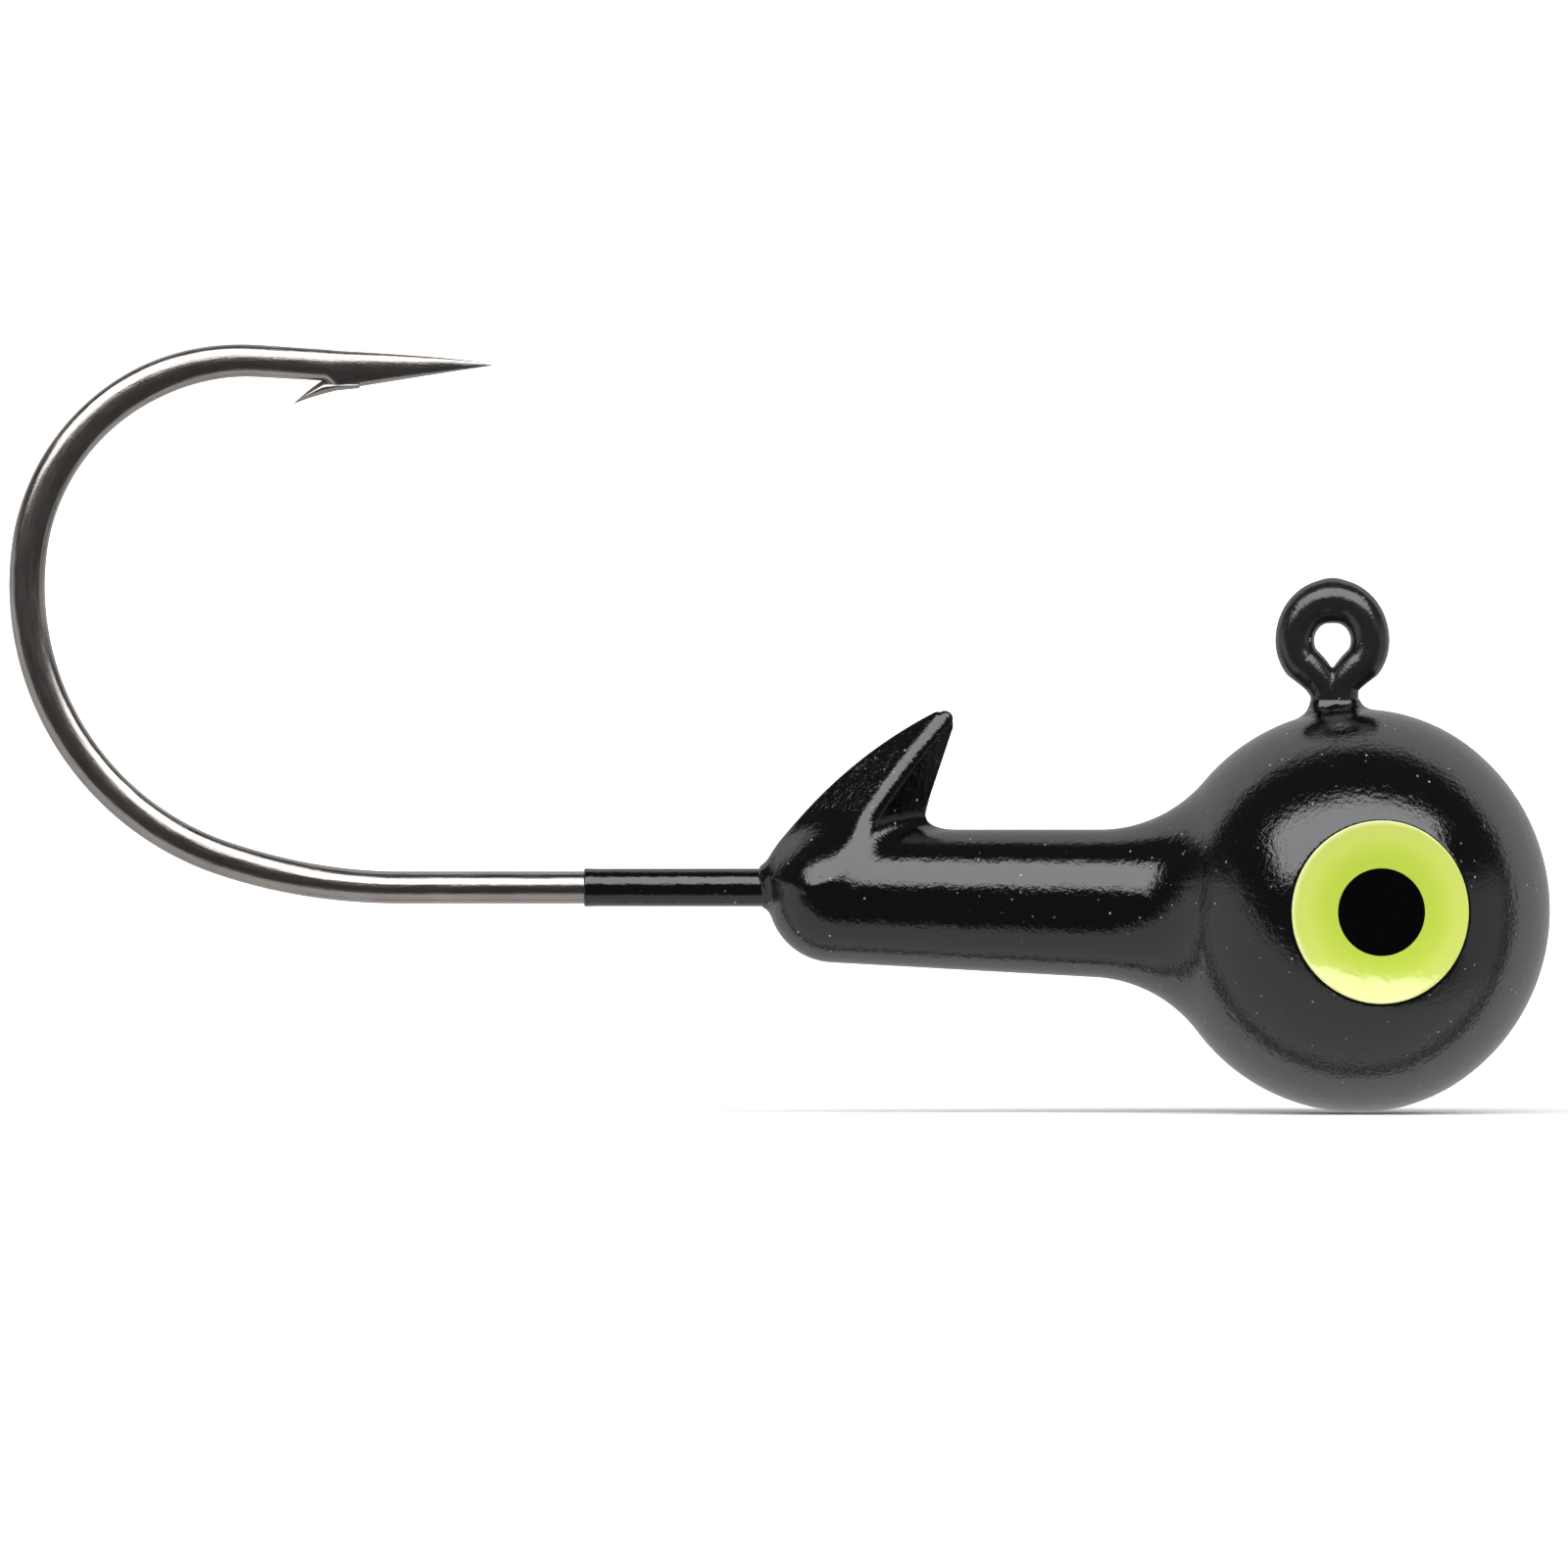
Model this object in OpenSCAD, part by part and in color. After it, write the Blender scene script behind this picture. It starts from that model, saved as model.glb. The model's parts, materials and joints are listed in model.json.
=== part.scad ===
// Jig head for fishing: a round lead head cast on a forged hook, powder
// coated black, with a bait keeper on its collar and a dished eye each side.
//
// Origin: centre of the hole in the line eye. X points to the nose of the
// head, Y to its left side and Z up, toward the line eye and the hook point.
// The whole hook lies in the plane Y = 0.

/* [Head] */
// diameter of the round head over the paint, across its equator
head_d = 10; // [9.5:0.1:10.5]
// how far the head centre lies below the centre of the line eye
head_drop = 6.7; // [6.6:0.05:6.9]
// how far the head centre lies ahead of the line eye
head_ahead = 0.65; // [0.5:0.05:0.8]
// thickness of the powder coat on the lead
coat_t = 0.08; // [0.05:0.01:0.1]

/* [Collar] */
// length of the collar, from the head centre to the middle of its rear dome
collar_len = 13; // [12:0.5:14]
// collar radius at the rear dome, over the paint
collar_r = 1.65; // [1.5:0.05:1.8]
// draft of the collar, and the tilt that keeps its top edge level, in degrees
collar_draft = 1.6; // [1.2:0.1:2]
// radius of the concave flare between collar and head
flare_r = 3.4; // [3:0.1:4]

/* [Bait keeper] */
// height of the keeper tip above the collar axis
keeper_h = 4.65; // [4.2:0.05:4.9]
// distance of the keeper tip from the middle of the rear dome
keeper_lean = 2.6; // [2.5:0.05:2.9]
// half width of the keeper where its side ridges meet the collar
keeper_side = 0.97; // [0.85:0.02:1.07]
// radius of the rounded keeper tip
keeper_tip_r = 0.2; // [0.15:0.01:0.25]

/* [Hook] */
// diameter of the bare wire
wire_d = 0.8; // [0.7:0.02:0.9]
// how far the shank lies below the centre of the line eye
shank_drop = 6.12; // [6:0.02:6.2]
// distance from the line eye back to the start of the bend
shank_back = 23.1; // [21:0.5:25]
// radius of the easy lead-in arc of the bend
lead_in_r = 13.7; // [12:0.1:15]
// angle of the lead-in arc, in degrees
lead_in_a = 18.8; // [16:0.2:20]
// radius of the lower arc of the bend
lower_r = 7.14; // [6.8:0.02:7.4]
// angle of the lower arc of the bend, in degrees
lower_a = 77.7; // [76:0.1:79]
// radius of the upper arc of the bend
upper_r = 5.37; // [5.2:0.01:5.6]
// angle of the upper arc of the bend, in degrees
upper_a = 87.4; // [86:0.1:89]
// width of the forged wire across the flats' plane, in the bend
forged_w = 0.89; // [0.86:0.01:0.94]
// thickness of the forged wire between its two side flats
forged_t = 0.64; // [0.58:0.02:0.7]

/* [Point] */
// length of wire between the bend and the foot of the barb
spear_len = 2.0; // [1.8:0.1:2.6]
// length of the tapered point
point_len = 3.8; // [3.2:0.05:4]
// radius of the point at the foot of the barb
point_r = 0.52; // [0.46:0.01:0.55]
// length of the barb sliver
barb_len = 1.1; // [0.9:0.05:1.2]
// how far the barb tip stands below the point
barb_drop = 0.42; // [0.3:0.01:0.46]
// thickness of the barb sliver
barb_t = 0.34; // [0.24:0.02:0.4]

/* [Line eye] */
// diameter of the open hole in the painted line eye
eye_hole_d = 0.94; // [0.88:0.02:1.04]
// width of the cylindrical land in the hole
eye_land = 0.3; // [0.26:0.02:0.34]
// radius of the right-angle bend of the hook inside the head
leg_bend_r = 1.2; // [1:0.1:1.5]

/* [Painted shank] */
// distance from the line eye back to the end of the paint on the shank
sleeve_back = 18.55; // [17.5:0.05:19.5]
// thickness of the paint on the shank and on the neck of the line eye
sleeve_t = 0.07; // [0.05:0.01:0.08]

/* [Eyes] */
// diameter of the iris
iris_d = 4.54; // [4:0.02:4.8]
// depth of the iris dish below its rim
iris_dish = 0.34; // [0.25:0.01:0.4]
// thickness of the iris
iris_t = 0.12; // [0.08:0.01:0.16]
// diameter of the pupil
pupil_d = 2.16; // [1.8:0.02:2.4]
// distance of the eye centre ahead of the head centre
iris_ahead = 0.54; // [0.4:0.02:0.7]

/* [Hidden] */
$fn = 96;

nickel = [0.42, 0.40, 0.38];
lead = [0.45, 0.46, 0.48];
black = [0.03, 0.03, 0.035];
lime = [0.72, 0.84, 0.28];
ink = [0.008, 0.008, 0.008];

head_r = head_d / 2;
wire_r = wire_d / 2;
far = 3 * head_d;

// ring of the line eye: the wire is drawn down a little where it is curled
ring_wire_r = 0.48 * wire_d;
ring_r = eye_hole_d / 2 + 0.01 + coat_t + ring_wire_r;

// neck under the ring, and the end of the wire closed up against it
neck_x = -0.1;
neck_foot = -2;
tail_x = 0.22;
tail_r = 0.4 * wire_d;

// bend: centres of three arcs that run into each other
a1 = -90 - lead_in_a;
a2 = a1 - lower_a;
a3 = a2 - upper_a;
c1 = [-shank_back, -shank_drop + lead_in_r];
c2 = c1 + (lead_in_r - lower_r) * [cos(a1), sin(a1)];
c3 = c2 + (lower_r - upper_r) * [cos(a2), sin(a2)];
bend_end = c3 + upper_r * [cos(a3), sin(a3)];

// point: it starts at the foot of the barb and rises a little to its tip
spear_a = a3 - 90;
point_foot = spear_len - 0.02;
point_sag = point_r - forged_w / 2;
point_rise = 5.2;

// flare: centre of the concave arc that touches both collar and head
draft_n = [-sin(collar_draft), cos(collar_draft)];
draft_u = [cos(collar_draft), sin(collar_draft)];
dome_c = [-collar_len, 0];
flare_h = dome_c * draft_n + collar_r + flare_r;
flare_s = sqrt(pow(head_r + flare_r, 2) - flare_h * flare_h);
flare_c = flare_h * draft_n - flare_s * draft_u;
flare_a = atan2(-flare_c[1], -flare_c[0]);

// nose: two arcs that make the front of the head a little blunt
blunt = 0.104 * head_r;
cheek_r = head_r - blunt;
nose_r = cheek_r + 1.25 * blunt;
nose_a = acos(0.6);

// eye: the dish is part of a large ball, centred outside the head
iris_r = iris_d / 2;
iris_turn = asin(iris_ahead / head_r);
rim_y = sqrt(head_r * head_r - iris_r * iris_r);
dish_r = (iris_r * iris_r + iris_dish * iris_dish) / (2 * iris_dish);
dish_y = rim_y - iris_dish + dish_r;
pupil_y = dish_y - sqrt(dish_r * dish_r - pupil_d * pupil_d / 4);
pupil_step = 0.03;
pupil_sunk = iris_t / 2;

// Points on the arc of radius r round c, from angle a0 to a1 in n steps.
function arc_pts(c, r, a0, a1, n) =
    [for (i = [0:n]) let (a = a0 + (a1 - a0) * i / n) c + r * [cos(a), sin(a)]];

// Half outline of head, flare and collar, shrunk by t, with its axis on X:
// rear dome, flare, back of the head, cheek and nose, each an arc that runs
// into the next. The straight side of the collar joins the first two.
module head_outline(t) {
    polygon(concat(
        arc_pts(dome_c, collar_r - t, 180, 90 + collar_draft, 24),
        arc_pts(flare_c, flare_r + t, collar_draft - 90, flare_a, 16),
        arc_pts([0, 0], head_r - t, flare_a + 180, 90, 20),
        arc_pts([0, blunt], cheek_r - t, 90, nose_a, 16),
        arc_pts([-0.75 * blunt, 0], nose_r - t, nose_a, 0, 20)));
}

// Everything placed in here turns with the tilted axis of head and collar.
module at_head() {
    translate([head_ahead, 0, -head_drop]) rotate([0, collar_draft, 0]) children();
}

// Four-sided spike that leans toward the head.
module keeper_form(t) {
    translate([-collar_len, 0, 0]) hull() {
        translate([keeper_lean, 0, keeper_h - keeper_tip_r])
            sphere(r = keeper_tip_r - t, $fn = 32);
        translate([0, 0, collar_r - 0.75]) linear_extrude(0.6)
            polygon([[-1.3 + 1.5 * t, 0], [0.67, t - keeper_side],
                     [2.02 - t, 0], [0.67, keeper_side - t]]);
    }
}

module head_form(t) {
    at_head() rotate([0, 90, 0]) rotate_extrude() mirror([1, -1, 0]) head_outline(t);
    at_head() keeper_form(t);
}

// Places its children on the left (side 1) or right (side -1) of the head:
// local Z runs out through the middle of the eye.
module at_eye(side) {
    at_head() rotate([0, 0, -side * iris_turn]) rotate([-side * 90, 0, 0]) children();
}

// Half sections of what fills the eye; local Y runs out through its middle.
module dish(t) {
    translate([0, dish_y]) circle(r = dish_r + t, $fn = 720);
}

module iris_outline() {
    difference() {
        intersection() {
            translate([0, rim_y - 1]) square([iris_r, 1]);
            dish(iris_t);
        }
        dish(0);
        pupil_outline();
    }
}

// Flat disc, let into the iris, that stands a little proud of it.
module pupil_outline() {
    translate([0, pupil_y - pupil_sunk]) square([pupil_d / 2, pupil_sunk + pupil_step]);
}

// Space that iris and pupil take out of the head, and the air over them.
module eye_seat(side) {
    at_eye(side) rotate_extrude() intersection() {
        translate([0, rim_y - 1]) square([iris_r, 3]);
        dish(iris_t);
    }
}

module iris(side) {
    color(lime) at_eye(side) rotate_extrude() iris_outline();
}

module pupil(side) {
    color(ink) at_eye(side) rotate_extrude() pupil_outline();
}

module ring(r) {
    rotate([90, 0, 0]) rotate_extrude() translate([ring_r, 0]) circle(r = r);
}

// Neck of the line eye with the closed wire end beside it, grown by t.
module neck(t) {
    translate([neck_x, 0, neck_foot]) cylinder(r = wire_r + t, h = -neck_foot - ring_r);
    translate([tail_x, 0, neck_foot]) cylinder(r = tail_r + t, h = -neck_foot - ring_r);
}

module leg_bend() {
    translate([neck_x - leg_bend_r, 0, leg_bend_r - shank_drop]) rotate([90, 0, 0])
        rotate([0, 0, -90]) rotate_extrude(angle = 90) translate([leg_bend_r, 0])
            circle(r = wire_r);
}

// Straight rod along X at the height of the shank, from x0 to x1.
module shank_rod(r, x0, x1) {
    translate([x0, 0, -shank_drop]) rotate([0, 90, 0]) cylinder(r = r, h = x1 - x0);
}

module forged_section(w) {
    intersection() {
        circle(d = w);
        square([2 * w, forged_t], center = true);
    }
}

// One arc of the bend: c is its centre in XZ, from angle a over sweep s.
module arc(c, r, a, s) {
    translate([c[0], 0, c[1]]) rotate([90, 0, 0]) rotate([0, 0, a])
        rotate_extrude(angle = s) translate([r, 0]) children();
}

// Local X runs along the wire from the end of the bend toward the tip.
module at_spear() {
    translate([bend_end[0], 0, bend_end[1]]) rotate([0, -spear_a, 0]) children();
}

module hook_eye() {
    color(nickel) {
        ring(ring_wire_r);
        neck(0);
    }
}

module hook_leg() {
    color(nickel) {
        translate([neck_x, 0, leg_bend_r - shank_drop])
            cylinder(r = wire_r, h = shank_drop - leg_bend_r + neck_foot);
        leg_bend();
    }
}

module hook_shank() {
    color(nickel) shank_rod(wire_r, -shank_back, neck_x - leg_bend_r);
}

module hook_bend() {
    color(nickel) {
        arc(c1, lead_in_r, a1, lead_in_a) circle(r = wire_r);
        arc(c2, lower_r, a2, lower_a) forged_section(forged_w);
        arc(c3, upper_r, a3, upper_a) forged_section(forged_w);
    }
}

module hook_point() {
    color(nickel) at_spear() intersection() {
        union() {
            rotate([0, 90, 0]) cylinder(d = forged_w, h = spear_len);
            translate([point_foot, 0, -point_sag]) rotate([0, 90 - point_rise, 0])
                cylinder(r1 = point_r, r2 = 0.02, h = point_len);
        }
        translate([0, -forged_t / 2, -far / 2]) cube([far, forged_t, far]);
    }
}

// Sliver cut from the underside of the point and raised, tip toward the bend.
module hook_barb() {
    color(nickel) at_spear() translate([point_foot, barb_t / 2, 0]) rotate([90, 0, 0])
        linear_extrude(barb_t)
            polygon([[0, -forged_w / 2 + 0.12], [0, -point_sag - point_r + 0.01],
                     [-barb_len, -point_sag - point_r - barb_drop]]);
}

// The wire inside the head in one piece: neck, leg, bend and shank.
module wire_core() {
    translate([neck_x, 0, leg_bend_r - shank_drop])
        cylinder(r = wire_r, h = shank_drop - leg_bend_r);
    translate([tail_x, 0, neck_foot]) cylinder(r = tail_r, h = -neck_foot);
    leg_bend();
    shank_rod(wire_r, -far, neck_x - leg_bend_r);
}

module lead_head() {
    color(lead) difference() {
        head_form(coat_t);
        wire_core();
        eye_seat(1);
        eye_seat(-1);
    }
}

module head_paint() {
    color(black) difference() {
        head_form(0);
        head_form(coat_t);
        shank_rod(wire_r, -far, -collar_len + 1);
        neck(0);
        eye_seat(1);
        eye_seat(-1);
    }
}

module eyelet_paint() {
    color(black) difference() {
        union() {
            ring(ring_wire_r + coat_t);
            neck(sleeve_t);
            rotate([90, 0, 0]) difference() {
                cylinder(r = ring_r - ring_wire_r / 2, h = eye_land, center = true);
                cylinder(d = eye_hole_d, h = eye_land + 1, center = true);
            }
        }
        ring(ring_wire_r);
        neck(0);
        translate([head_ahead, 0, -head_drop]) sphere(r = head_r);
    }
}

module shank_paint() {
    color(black) difference() {
        shank_rod(wire_r + sleeve_t, -sleeve_back, -collar_len + 1);
        shank_rod(wire_r, -far, 0);
        at_head() translate([-collar_len, 0, 0]) sphere(r = collar_r);
    }
}

module iris_left() {
    iris(1);
}

module iris_right() {
    iris(-1);
}

module pupil_left() {
    pupil(1);
}

module pupil_right() {
    pupil(-1);
}

hook_eye();
hook_leg();
hook_shank();
hook_bend();
hook_point();
hook_barb();
lead_head();
head_paint();
eyelet_paint();
shank_paint();
iris_left();
iris_right();
pupil_left();
pupil_right();
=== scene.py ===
"""Looks for the jig head: smooth powder coat, forged wire hook, dished eyes.

Lengths in the mesh code are in millimetres and become metres in new_mesh().
The frame's origin is the centre of the line eye: X to the nose, Z up.
"""

import json
import math

import bpy
import numpy as np
import openvdb
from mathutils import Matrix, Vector


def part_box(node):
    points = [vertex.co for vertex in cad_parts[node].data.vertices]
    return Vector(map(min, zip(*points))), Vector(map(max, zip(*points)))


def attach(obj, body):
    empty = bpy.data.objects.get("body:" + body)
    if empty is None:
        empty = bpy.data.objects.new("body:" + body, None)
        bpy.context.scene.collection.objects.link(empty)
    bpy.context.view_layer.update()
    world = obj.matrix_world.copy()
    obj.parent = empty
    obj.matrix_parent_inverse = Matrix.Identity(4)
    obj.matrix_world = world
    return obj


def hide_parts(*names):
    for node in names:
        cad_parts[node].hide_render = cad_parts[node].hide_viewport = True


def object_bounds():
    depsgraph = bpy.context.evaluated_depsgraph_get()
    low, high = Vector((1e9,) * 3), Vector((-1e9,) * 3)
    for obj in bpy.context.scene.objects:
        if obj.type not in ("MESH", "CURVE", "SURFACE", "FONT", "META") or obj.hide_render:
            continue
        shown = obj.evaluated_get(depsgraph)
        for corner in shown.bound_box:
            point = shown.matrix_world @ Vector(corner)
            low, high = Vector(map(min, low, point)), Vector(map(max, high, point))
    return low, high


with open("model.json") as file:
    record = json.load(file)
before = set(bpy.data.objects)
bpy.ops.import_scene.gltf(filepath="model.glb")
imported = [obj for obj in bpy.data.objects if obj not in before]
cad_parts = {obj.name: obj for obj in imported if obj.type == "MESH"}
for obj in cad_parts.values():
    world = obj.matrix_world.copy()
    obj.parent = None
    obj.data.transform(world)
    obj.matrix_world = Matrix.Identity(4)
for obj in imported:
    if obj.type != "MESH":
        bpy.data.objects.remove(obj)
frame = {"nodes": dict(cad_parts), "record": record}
cad_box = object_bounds()
MM = 0.001


# ---------------------------------------------------------------- dimensions

def node_box(name):
    """Lowest and highest corner of a CAD node, in millimetres."""
    low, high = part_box(name)
    return np.array(low) / MM, np.array(high) / MM


HEAD_LOW, HEAD_HIGH = node_box("head_paint")
SHANK_LOW, SHANK_HIGH = node_box("hook_shank")
SLEEVE_LOW, _ = node_box("shank_paint")
EYE_MOUNT = next(m for m in frame["record"]["mounts"] if m["name"] == "line_eye")

HEAD_R = 5.0                                   # radius of the ball
HEAD_C = np.array([0.65, 0.0, HEAD_LOW[2] + HEAD_R])
TILT = math.radians(1.6)                       # draft of the collar, and its tilt
COLLAR_LEN = 13.0                              # ball centre to dome centre
COLLAR_R = 1.65
FLARE_R = 3.4                                  # hollow between ball and collar
BLUNT = 0.104 * HEAD_R                         # how much the nose is flattened
CHEEK_R = HEAD_R - BLUNT
NOSE_R = CHEEK_R + 1.25 * BLUNT

WIRE_R = (SHANK_HIGH[2] - SHANK_LOW[2]) / 2
SHANK_Z = (SHANK_HIGH[2] + SHANK_LOW[2]) / 2
SLEEVE_END = SLEEVE_LOW[0]
OVERLAP = 0.01                                 # how far the paint reaches into the wire
SLEEVE_R = WIRE_R + 0.07                       # painted shank
RING_TUBE = 0.483                              # painted wire of the line eye
RING_R = EYE_MOUNT["dims"]["r_mm"] - 0.02 + RING_TUBE
NECK_R = 0.38                                  # each strand of wire where it enters the head

EYE_R = 2.27                                   # rim of the iris
EYE_DISH = 0.34                                # depth of the dish
EYE_TURN = math.asin(0.54 / HEAD_R)            # the eyes look a little forward
PUPIL_R = 1.08
IRIS_PROUD = 0.012                             # paint in the dish
IRIS_T = 0.08
RIM_Y = math.sqrt(HEAD_R ** 2 - EYE_R ** 2)
DISH_R = (EYE_R ** 2 + EYE_DISH ** 2) / (2 * EYE_DISH)
DISH_Y = RIM_Y - EYE_DISH + DISH_R             # centre of the dish's big ball


# -------------------------------------------------------------- mesh helpers

def new_mesh(name, points, faces, normals=None):
    mesh = bpy.data.meshes.new(name)
    mesh.from_pydata((np.asarray(points, dtype=float) * MM).tolist(), [], [list(f) for f in faces])
    mesh.polygons.foreach_set("use_smooth", [True] * len(mesh.polygons))
    mesh.validate()
    if normals is not None:
        mesh.normals_split_custom_set_from_vertices(np.asarray(normals, dtype=float).tolist())
    obj = bpy.data.objects.new(name, mesh)
    bpy.context.scene.collection.objects.link(obj)
    return obj


def smin(a, b, k):
    """Smooth union of two distances, rounded over about k."""
    h = np.clip(0.5 + 0.5 * (b - a) / k, 0, 1)
    return b + (a - b) * h - k * h * (1 - h)


def smax(a, b, k):
    return -smin(-a, -b, k)


BLOCK = 8                                      # voxels along the side of a block
BATCH = 400                                    # blocks worked out at a time


def cell_centres(counts, size):
    """Centres of a grid of cubes that starts at zero."""
    steps = np.meshgrid(*[np.arange(n) for n in counts], indexing="ij")
    return (np.stack(steps, -1) + 0.5) * size


def surface(distance, low, high, voxel):
    """Mesh of distance = 0 with its own normals.

    The distance is worked out once for each block, then for every voxel of the blocks
    near the surface. Each point of the voxel mesh is then slid onto the surface.
    """
    low, high = np.array(low, float), np.array(high, float)
    side = voxel * BLOCK
    counts = np.ceil((high - low) / side).astype(int)
    rough = distance((low + cell_centres(counts, side)).reshape(-1, 3)).reshape(counts)
    grid = np.repeat(np.repeat(np.repeat(rough, BLOCK, 0), BLOCK, 1), BLOCK, 2).astype(np.float32)
    voxels = cell_centres([BLOCK] * 3, voxel)
    near = np.argwhere(np.abs(rough) < side * 1.3)
    for start in range(0, len(near), BATCH):
        part = near[start:start + BATCH]
        points = low + part[:, None, None, None, :] * side + voxels
        values = distance(points.reshape(-1, 3)).reshape(len(part), BLOCK, BLOCK, BLOCK)
        for (i, j, k), block in zip(part * BLOCK, values):
            grid[i:i + BLOCK, j:j + BLOCK, k:k + BLOCK] = block
    reach = voxel * 3
    vdb = openvdb.FloatGrid(reach)
    vdb.copyFromArray(np.clip(grid, -reach, reach))
    points, quads = vdb.convertToQuads(0.0)
    points = low + (points + 0.5) * voxel
    for _ in range(3):
        value, slope = distance(points), gradient(distance, points, voxel * 0.1)
        points = points - np.clip(value, -voxel, voxel)[:, None] * slope
    slope = gradient(distance, points, voxel * 0.25)
    a, b, c = points[quads[:, 0]], points[quads[:, 1]], points[quads[:, 2]]
    if (np.cross(b - a, c - a) * slope[quads[:, 0]]).sum() < 0:
        quads = quads[:, ::-1]
    return points, quads, slope


def gradient(distance, points, h):
    g = np.stack([distance(points + d) - distance(points - d) for d in np.eye(3) * h], -1)
    return g / np.maximum(np.linalg.norm(g, axis=1, keepdims=True), 1e-9)


def tube_distance(points, path, radii):
    """Distance to a chain of round cones along a path."""
    best = np.full(len(points), 1e9)
    for a, b, ra, rb in zip(path[:-1], path[1:], radii[:-1], radii[1:]):
        ab = b - a
        t = np.clip((points - a) @ ab / (ab @ ab), 0, 1)
        best = np.minimum(best, np.linalg.norm(points - a - t[:, None] * ab, axis=1) - ra - (rb - ra) * t)
    return best


# ------------------------------------------------- painted head and line eye

def to_head(points):
    """Coordinates along the tilted axis of head and collar, from the ball centre."""
    p = points - HEAD_C
    c, s = math.cos(TILT), math.sin(TILT)
    return np.stack([p[:, 0] * c - p[:, 2] * s, p[:, 1], p[:, 0] * s + p[:, 2] * c], 1)


def body_distance(p):
    """Ball, flare, collar and rear dome: arcs that run into each other, turned round the axis."""
    u, v = p[:, 0], np.hypot(p[:, 1], p[:, 2])
    n, t = (-math.sin(TILT), math.cos(TILT)), (math.cos(TILT), math.sin(TILT))
    flare_h = -COLLAR_LEN * n[0] + COLLAR_R + FLARE_R
    flare_s = math.sqrt((HEAD_R + FLARE_R) ** 2 - flare_h ** 2)
    fu, fv = flare_h * n[0] - flare_s * t[0], flare_h * n[1] - flare_s * t[1]
    ball = np.hypot(u, v) - HEAD_R
    cheek = np.hypot(u, v - BLUNT) - CHEEK_R
    nose = np.hypot(u + 0.75 * BLUNT, v) - NOSE_R
    flare = FLARE_R - np.hypot(u - fu, v - fv)
    side = u * n[0] + v * n[1] - (flare_h - FLARE_R)
    dome = np.hypot(u + COLLAR_LEN, v) - COLLAR_R
    front = np.where(0.8 * (u + 0.75 * BLUNT) > 0.6 * v, nose, cheek)
    back = np.where((u * fv - v * fu < 0) & (v < fv * 1.2), flare, ball)
    back = np.where((u - fu) * t[0] + (v - fv) * t[1] < 0, side, back)
    back = np.where((u + COLLAR_LEN) * t[0] + v * t[1] < 0, dome, back)
    return np.where(u > 0, front, back)


# bait keeper, from the centre of the rear dome: a spike with four faces
KEEPER_TIP = np.array([2.61, 0.0, 4.46])       # centre of the rounded tip
KEEPER_TIP_R = 0.2
KEEPER_FRONT = np.array([-1.3, 0.0, 1.5])      # corners of its foot
KEEPER_REAR = np.array([2.04, 0.0, 1.5])
KEEPER_SIDE = np.array([0.67, 1.07, 1.5])
KEEPER_CENTRE = np.array([0.8, 0.0, 1.8])      # a place well inside it
KEEPER_AXIS = np.array([0.6, 0.0, 0.8])        # the way it leans
KEEPER_CROWN = 0.17                            # how far the leading edge bows out
KEEPER_HEEL = np.array([-0.877, 0.0, 0.481])   # normal of the steeper cut under that edge
KEEPER_HEEL_OUT = 1.82


def face(a, b):
    """Plane through a and b that touches the ball of the keeper's tip: its normal and offset."""
    along = (b - a) / np.linalg.norm(b - a)
    out = KEEPER_TIP - a
    out -= (out @ along) * along
    reach = np.linalg.norm(out)
    out /= reach
    other = np.cross(along, out)
    if other @ (KEEPER_CENTRE - a) > 0:
        other = -other
    lean = math.asin(KEEPER_TIP_R / reach)
    normal = math.cos(lean) * other - math.sin(lean) * out
    return normal, normal @ a


LEADING = face(KEEPER_FRONT, KEEPER_SIDE)
TRAILING = face(KEEPER_REAR, KEEPER_SIDE)


def ridge(q, plane, rounding):
    """A face and its mirror image, with a rounded ridge between them."""
    normal, offset = plane
    return smax(q @ normal - offset, (q * [1, -1, 1]) @ normal - offset, rounding)


def keeper_distance(p):
    """Spike with a bowed leading edge and a rounded tip; its foot is inside the collar."""
    q = p + np.array([COLLAR_LEN, 0, 0])
    q = np.stack([q[:, 0], np.abs(q[:, 1]), q[:, 2]], 1)
    edge = KEEPER_TIP - KEEPER_FRONT
    share = np.clip((q - KEEPER_FRONT) @ edge / (edge @ edge), 0, 1)
    leading = ridge(q, LEADING, 0.10) - KEEPER_CROWN * 4 * share * (1 - share)
    spike = smax(leading, ridge(q, TRAILING, 0.12), 0.30)
    tip = np.linalg.norm(q - KEEPER_TIP, axis=1) - KEEPER_TIP_R - 0.015
    past_tip = (q - KEEPER_TIP) @ KEEPER_AXIS - 0.05
    spike = smax(spike, np.minimum(past_tip, tip), 0.06)
    spike = smax(spike, q @ KEEPER_HEEL - KEEPER_HEEL_OUT, 0.15)
    return smax(spike, 0.5 - q[:, 2], 0.2)


NECK_FEET = ((-1, 0.17), (1, 0.27))            # side and reach of the strands where they enter the head


def neck_strands():
    """Two wire strands of the line eye: down round the ring, then side by side into the head."""
    strands = []
    steps = 22
    for side, foot in NECK_FEET:
        turn = np.radians(np.linspace(180, 56, steps))
        thicker = 0.06 * np.clip(-np.cos(turn), 0, 1) ** 2      # the wire is full where it curls most
        reach = RING_R + thicker
        ring = np.stack([side * reach * np.sin(turn), np.zeros(steps), -reach * np.cos(turn)], 1)
        closing = [(0.58, -0.69), (0.40, -0.88), (0.28, -1.06), (foot, -1.32), (foot, -1.7), (foot, -2.3)]
        knots = np.array([ring[-1]] + [[side * x, 0, z] for x, z in closing])
        path = np.concatenate([ring[:-1], smooth_curve(knots, steps)])
        down = np.clip((-0.45 - path[:, 2]) / 0.9, 0, 1)
        radii = RING_TUBE + (NECK_R - RING_TUBE) * down * down * (3 - 2 * down)
        radii[:steps - 1] += thicker[:-1]
        strands.append((path, radii))
    return strands


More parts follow.
